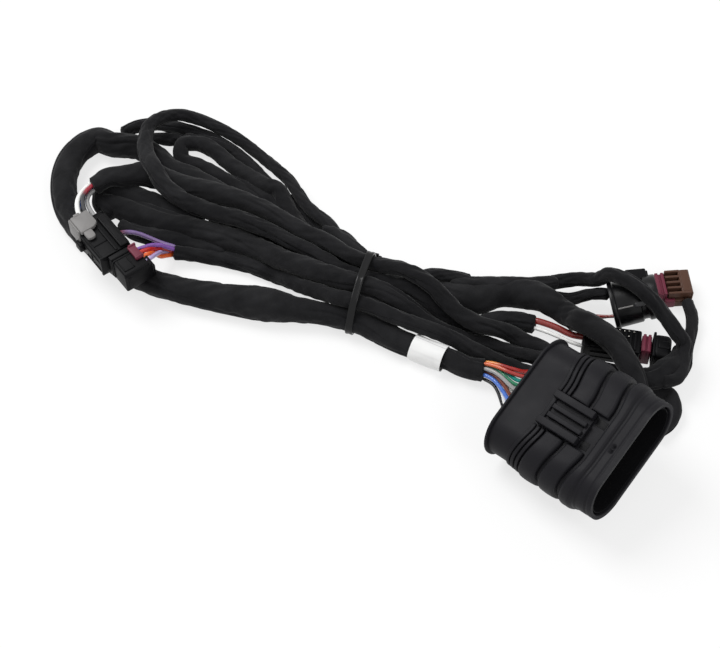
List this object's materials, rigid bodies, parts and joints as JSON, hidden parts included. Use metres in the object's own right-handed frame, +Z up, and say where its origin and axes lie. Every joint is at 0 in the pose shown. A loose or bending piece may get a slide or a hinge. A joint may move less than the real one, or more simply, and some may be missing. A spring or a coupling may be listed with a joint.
{
  "type": "wiring harness",
  "caption": "Vehicle wiring harness of black taped looms, folded into a hank under a cable tie, with a large oval ribbed connector and small plugs on short coloured wires.",
  "frame": {"origin": "middle of the bounding box at its base, the plane on which the hank lies", "axes": "+X along the hank towards the large oval connector, +Y across it away from the viewer of the picture, +Z up"},
  "size_m": [0.3139, 0.2442, 0.0521],
  "materials": {
    "loom_tape": "matte",
    "black_plastic": "satin",
    "tie_nylon": "semi-gloss",
    "label_paper": "matte",
    "contact_metal": "satin",
    "seal_rubber": "matte",
    "grey_plastic": "satin",
    "magenta_plastic": "satin",
    "brown_plastic": "satin",
    "wire_red": "semi-gloss",
    "wire_orange": "semi-gloss",
    "wire_teal": "semi-gloss",
    "wire_green": "semi-gloss",
    "wire_grey": "semi-gloss",
    "wire_white": "semi-gloss",
    "wire_brown": "semi-gloss",
    "wire_blue": "semi-gloss",
    "wire_black": "semi-gloss",
    "wire_violet": "semi-gloss",
    "wire_red_brown": "semi-gloss"
  },
  "bodies": {
    "root": {"oval_shell": "black_plastic", "latch_frame": "black_plastic", "pin_carrier": "seal_rubber", "contact_pins": "contact_metal", "wire_seal": "seal_rubber", "plug_housing": "black_plastic", "grey_lock": "grey_plastic", "socket_housing": "black_plastic", "socket_lock": "magenta_plastic", "round_boot": "black_plastic", "sensor_plug": "brown_plastic", "sensor_lock": "magenta_plastic", "rear_plug": "black_plastic", "rear_lock": "magenta_plastic", "rear_cap": "black_plastic", "main_loom": "loom_tape", "front_loop_loom": "loom_tape", "front_branch_loom": "loom_tape", "hook_loom": "loom_tape", "boot_loom": "loom_tape", "back_loom": "loom_tape", "sensor_loom": "loom_tape", "socket_loom": "loom_tape", "plug_loom": "loom_tape", "main_wire_red": "wire_red", "main_wire_orange": "wire_orange", "main_wire_teal": "wire_teal", "main_wire_green": "wire_green", "main_wire_grey": "wire_grey", "main_wire_white": "wire_white", "main_wire_brown": "wire_brown", "main_wire_blue": "wire_blue", "main_wire_cream": "wire_white", "main_wire_black": "wire_black", "plug_wire_white": "wire_white", "plug_wire_blue": "wire_blue", "plug_wire_red": "wire_red", "plug_wire_grey": "wire_grey", "jumper_wire": "wire_violet", "socket_wire_violet": "wire_violet", "socket_wire_red": "wire_red", "socket_wire_orange": "wire_orange", "socket_wire_lilac": "wire_violet", "power_wire": "wire_red_brown", "power_wire_white": "wire_white", "boot_wire_maroon": "wire_red_brown", "boot_wire_white": "wire_white", "cable_tie": "tie_nylon", "label_sleeve": "label_paper"}
  },
  "joints": []
}
